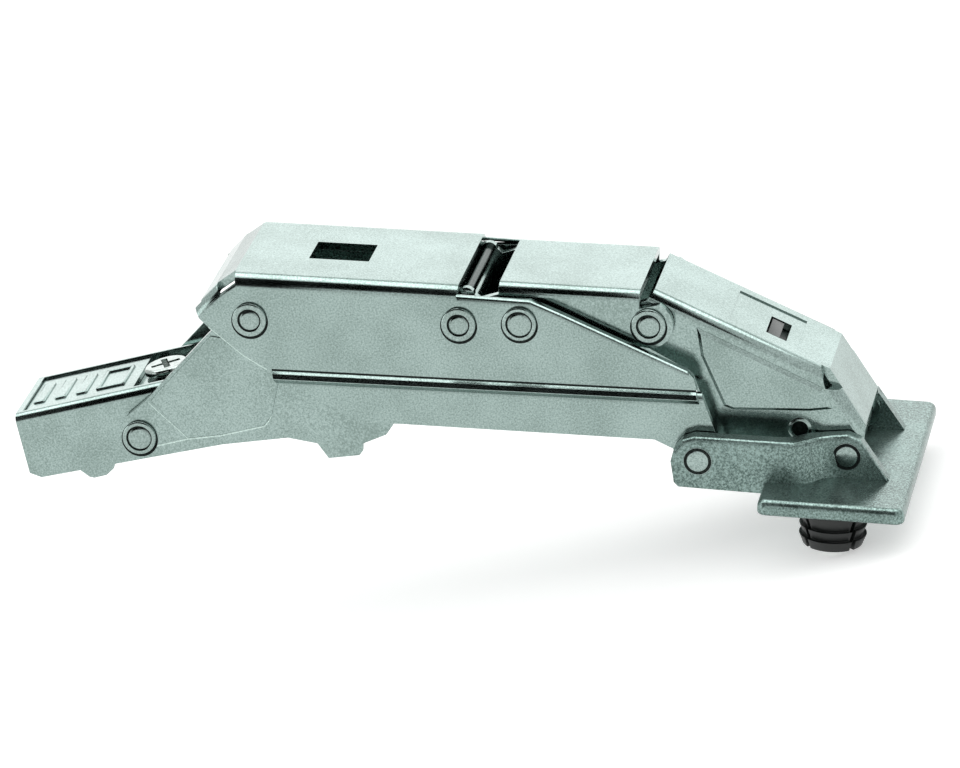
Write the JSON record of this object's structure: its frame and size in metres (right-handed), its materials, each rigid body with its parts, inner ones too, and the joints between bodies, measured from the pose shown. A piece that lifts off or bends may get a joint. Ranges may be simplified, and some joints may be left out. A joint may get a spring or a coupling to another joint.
{
  "type": "concealed hinge",
  "caption": "Concealed multi-link hinge with a clip-on arm, folded steel links and a cast door plate on expanding dowels.",
  "frame": {"origin": "middle of the arm's seat on its mounting plate, under the depth cam", "axes": "+X along the arm towards the door, +Y along the pivot pins, +Z away from the cabinet side"},
  "size_m": [0.1311, 0.0462, 0.0571],
  "materials": {
    "sheet_steel": "nickel-plated satin",
    "rivet_steel": "nickel-plated",
    "dark_steel": "dark",
    "screw_steel": "polished",
    "cast_plate": "nickel-plated die casting",
    "dark_plastic": "matt",
    "dowel_plastic": "matt black",
    "expander": "plain"
  },
  "bodies": {
    "arm": {"arm_channel": "sheet_steel", "arm_bracket": "sheet_steel", "bracket_pin": "rivet_steel", "lower_pivot_pin": "rivet_steel", "clip_pin": "rivet_steel"},
    "housing": {"upper_housing": "sheet_steel", "middle_channel": "sheet_steel", "housing_pivot_pin": "rivet_steel", "spring_shaft": "rivet_steel", "cross_pin": "rivet_steel", "guide_rod": "dark_steel", "front_pivot_pin": "rivet_steel"},
    "lower_link": {"lower_link": "sheet_steel"},
    "front_link": {"front_link": "sheet_steel"},
    "door_plate": {"door_plate": "cast_plate", "plate_rear_pin": "rivet_steel", "plate_front_pin": "rivet_steel", "dowel_sleeves": "dowel_plastic", "dowel_expanders": "expander"},
    "cam_screw": {"cam_screw": "screw_steel"},
    "clip_lever": {"clip_lever": "sheet_steel"},
    "switch_block": {"switch_block": "dark_plastic"}
  },
  "joints": [
    {"name": "housing_swing", "type": "hinge", "parent": "arm", "child": "housing", "pos_m": [0.0183, 0, 0.0198], "axis": [0, -1, 0], "range_deg": [0, 35]},
    {"name": "lower_swing", "type": "hinge", "parent": "arm", "child": "lower_link", "pos_m": [0.0292, 0, 0.00505], "axis": [0, -1, 0], "range_deg": [0, 25.84]},
    {"name": "front_swing", "type": "hinge", "parent": "housing", "child": "front_link", "pos_m": [0.07605, 0, 0.007], "axis": [0, -1, 0], "range_deg": [-26.09, 0]},
    {"name": "plate_swing", "type": "hinge", "parent": "front_link", "child": "door_plate", "pos_m": [0.1001, 0, -0.0182], "axis": [0, -1, 0], "range_deg": [0, 35.23]},
    {"name": "cam_turn", "type": "hinge", "parent": "arm", "child": "cam_screw", "pos_m": [0, 0, 0.0116], "axis": [0, 0, 1], "range_deg": [-120, 120]},
    {"name": "clip_release", "type": "hinge", "parent": "arm", "child": "clip_lever", "pos_m": [-0.0128, 0, 0.0026], "axis": [0, -1, 0], "range_deg": [0, 12], "stiffness_Nm_per_rad": 0.05, "springref_deg": -2.86},
    {"name": "switch_slide", "type": "slide", "parent": "front_link", "child": "switch_block", "axis": [0.7955, 0, -0.606], "range_m": [0, 0.0008]}
  ],
  "couplings": [
    {"joint": "lower_swing", "follows": "housing_swing", "ratio": 0.738},
    {"joint": "front_swing", "follows": "housing_swing", "ratio": -0.745},
    {"joint": "plate_swing", "follows": "housing_swing", "ratio": 1.0063}
  ]
}
